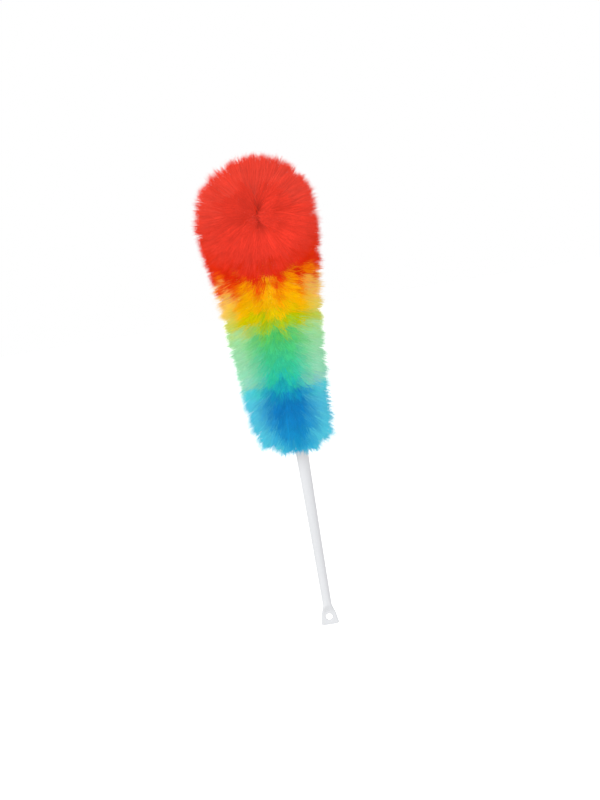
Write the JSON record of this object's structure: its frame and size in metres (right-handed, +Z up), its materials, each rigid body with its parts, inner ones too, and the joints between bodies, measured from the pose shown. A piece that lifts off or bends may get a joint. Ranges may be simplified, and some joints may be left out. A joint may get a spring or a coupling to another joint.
{
  "type": "duster",
  "caption": "Long-handled plastic fibre duster: a bent wire core with tufts in colour bands, on a tubular handle with a flat hanger end and eye.",
  "frame": {"origin": "middle of the flat end face of the hanger tab", "axes": "+Z up the handle towards the fibre head, -Y towards the side that the top of the core bends to, X across the width of the hanger tab"},
  "size_m": [0.1641, 0.1696, 0.5805],
  "materials": {
    "handle_plastic": "white moulded polypropylene, satin",
    "plug_plastic": "off-white moulded bush",
    "core_steel": "galvanised",
    "fibre_blue": "fine crimped blue plastic fibre, translucent at its tips",
    "fibre_green": "fine crimped green plastic fibre, translucent at its tips",
    "fibre_yellow": "fine crimped yellow plastic fibre, translucent at its tips",
    "fibre_red": "fine crimped red plastic fibre, translucent at its tips"
  },
  "bodies": {
    "root": {"handle": "handle_plastic", "stem_plug": "plug_plastic", "core_wire": "core_steel", "tuft_blue_1": "fibre_blue", "tuft_blue_2": "fibre_blue", "tuft_blue_3": "fibre_blue", "tuft_blue_4": "fibre_blue", "tuft_blue_5": "fibre_blue", "tuft_blue_6": "fibre_blue", "tuft_green_1": "fibre_green", "tuft_green_2": "fibre_green", "tuft_green_3": "fibre_green", "tuft_green_4": "fibre_green", "tuft_green_5": "fibre_green", "tuft_green_6": "fibre_green", "tuft_yellow_1": "fibre_yellow", "tuft_yellow_2": "fibre_yellow", "tuft_yellow_3": "fibre_yellow", "tuft_yellow_4": "fibre_yellow", "tuft_red_1": "fibre_red", "tuft_red_2": "fibre_red", "tuft_red_3": "fibre_red", "tuft_red_4": "fibre_red", "tuft_red_5": "fibre_red", "tuft_red_6": "fibre_red", "tuft_red_7": "fibre_red", "tuft_red_8": "fibre_red"}
  },
  "joints": []
}
